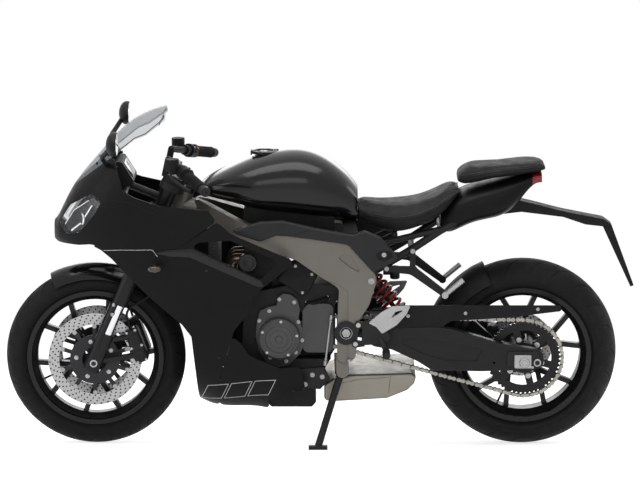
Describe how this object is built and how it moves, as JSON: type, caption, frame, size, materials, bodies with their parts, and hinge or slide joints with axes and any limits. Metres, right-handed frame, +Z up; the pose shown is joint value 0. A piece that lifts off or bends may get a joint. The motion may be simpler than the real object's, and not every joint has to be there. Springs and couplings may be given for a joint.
{
  "type": "sport motorcycle",
  "caption": "Sport motorcycle with upper, side and belly fairing panels, clip-on bars, underslung silencer and high tail, leaning on its side stand.",
  "frame": {"origin": "on the ground under the middle of the box round the machine as it parks", "axes": "+X towards the rear wheel, +Y towards the rider's right, +Z up; the machine leans to its left, towards -Y"},
  "size_m": [2.0939, 0.7987, 1.1498],
  "materials": {
    "tyre": "moulded rubber",
    "wheel_black": "satin black",
    "disc_steel": "brushed",
    "sprocket_steel": "satin",
    "chain_steel": "oiled",
    "fork_black": "satin black",
    "bright_steel": "turned",
    "cast_dark": "satin",
    "bar_black": "satin black",
    "control_black": "moulded",
    "gloss_black": "gloss",
    "caliper_grey": "satin",
    "hose_black": "sheathed",
    "lamp_glass": "clear lens",
    "screen": "smoked clear",
    "lamp_amber": "lamp lens",
    "tank_black": "gloss",
    "cap_grey": "turned",
    "seat_cover": "grained",
    "panel_grey": "satin",
    "lamp_red": "lamp lens",
    "frame_grey": "satin champagne",
    "arm_black": "satin black",
    "engine_dark": "satin",
    "engine_cover": "satin",
    "header_steel": "heat tinted",
    "silencer_grey": "brushed",
    "spring_red": "gloss"
  },
  "bodies": {
    "frame": {"chain": "chain_steel", "upper_cowl": "gloss_black", "headlights": "lamp_glass", "windscreen": "screen", "side_fairings": "gloss_black", "belly_pan": "gloss_black", "fairing_stay": "fork_black", "instrument_panel": "control_black", "mirrors": "gloss_black", "indicators": "lamp_amber", "fuel_tank": "tank_black", "rider_seat": "seat_cover", "passenger_seat": "seat_cover", "side_covers": "panel_grey", "tail_cowl": "gloss_black", "tail_light": "lamp_red", "plate_hanger": "control_black", "main_frame": "frame_grey", "subframe": "arm_black", "pillion_hangers": "arm_black", "pillion_pegs": "bright_steel", "airbox": "control_black", "engine_block": "engine_dark", "engine_covers": "engine_cover", "sump": "engine_dark", "radiator": "control_black", "exhaust": "header_steel", "silencer": "silencer_grey", "swingarm": "arm_black", "pivot_bolt": "bright_steel", "rear_axle": "bright_steel", "rear_caliper": "caliper_grey", "shock": "cast_dark", "shock_spring": "spring_red", "rear_hugger": "control_black", "chain_guard": "control_black", "footrests": "cast_dark", "heel_plates": "bright_steel"},
    "fork": {"fork_legs": "fork_black", "front_axle": "bright_steel", "triple_clamps": "cast_dark", "handlebars": "bar_black", "controls": "control_black", "front_mudguard": "gloss_black", "front_calipers": "caliper_grey", "brake_hoses": "hose_black"},
    "front_wheel": {"front_tyre": "tyre", "front_rim": "wheel_black", "front_discs": "disc_steel"},
    "rear_wheel": {"rear_tyre": "tyre", "rear_rim": "wheel_black", "rear_disc": "disc_steel", "rear_sprocket": "sprocket_steel"},
    "side_stand": {"side_stand": "bar_black"},
    "fuel_cap": {"fuel_cap": "cap_grey"}
  },
  "joints": [
    {"name": "steering", "type": "hinge", "parent": "frame", "child": "fork", "pos_m": [-0.48877, 0.03936, 0.75701], "axis": [0.4035, -0.151, 0.9024], "range_deg": [-25, 25]},
    {"name": "front_wheel_spin", "type": "hinge", "parent": "fork", "child": "front_wheel", "pos_m": [-0.74709, 0.1164, 0.29666], "axis": [0, 0.9863, 0.165], "continuous": true},
    {"name": "rear_wheel_spin", "type": "hinge", "parent": "frame", "child": "rear_wheel", "pos_m": [0.67791, 0.11385, 0.31189], "axis": [0, 0.9863, 0.165], "continuous": true},
    {"name": "stand_swing", "type": "hinge", "parent": "frame", "child": "side_stand", "pos_m": [0.07514, -0.03609, 0.2506], "axis": [0.1449, -0.9882, 0.0502], "range_deg": [0, 105]},
    {"name": "filler_cap", "type": "hinge", "parent": "frame", "child": "fuel_cap", "pos_m": [-0.22394, 0.00184, 0.98125], "axis": [0, -0.9863, -0.165], "range_deg": [0, 90]}
  ]
}
